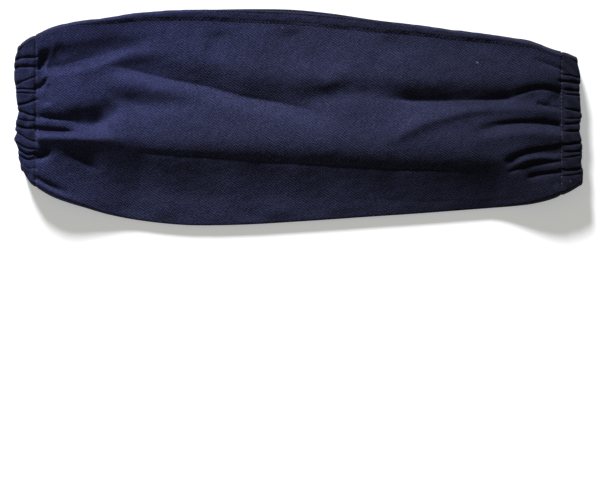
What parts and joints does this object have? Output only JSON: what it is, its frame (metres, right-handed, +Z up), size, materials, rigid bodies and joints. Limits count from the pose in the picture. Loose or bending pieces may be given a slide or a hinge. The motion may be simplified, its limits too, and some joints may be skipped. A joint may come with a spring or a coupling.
{
  "type": "welding sleeve",
  "caption": "Soft protective arm sleeve of dark blue twill, laid flat: a wide tapering tube with a felled side seam and an elastic gathered hem at each mouth.",
  "frame": {"origin": "Middle of the sleeve's box on the surface it lies on: halfway between the two mouths and the two long edges, at the underside.", "axes": "+X along the sleeve from the bicep mouth to the wrist mouth, +Y across it towards the long edge with the seam, +Z up from the surface it lies on."},
  "size_m": [0.457, 0.1745, 0.0256],
  "materials": {
    "navy_twill": "matte",
    "hem_twill": "matte",
    "seam_twill": "matte",
    "woven_elastic": "matte"
  },
  "bodies": {
    "root": {"sleeve_tube": "navy_twill", "bicep_casing": "hem_twill", "wrist_casing": "hem_twill", "bicep_elastic": "woven_elastic", "wrist_elastic": "woven_elastic", "side_seam": "seam_twill"}
  },
  "joints": []
}
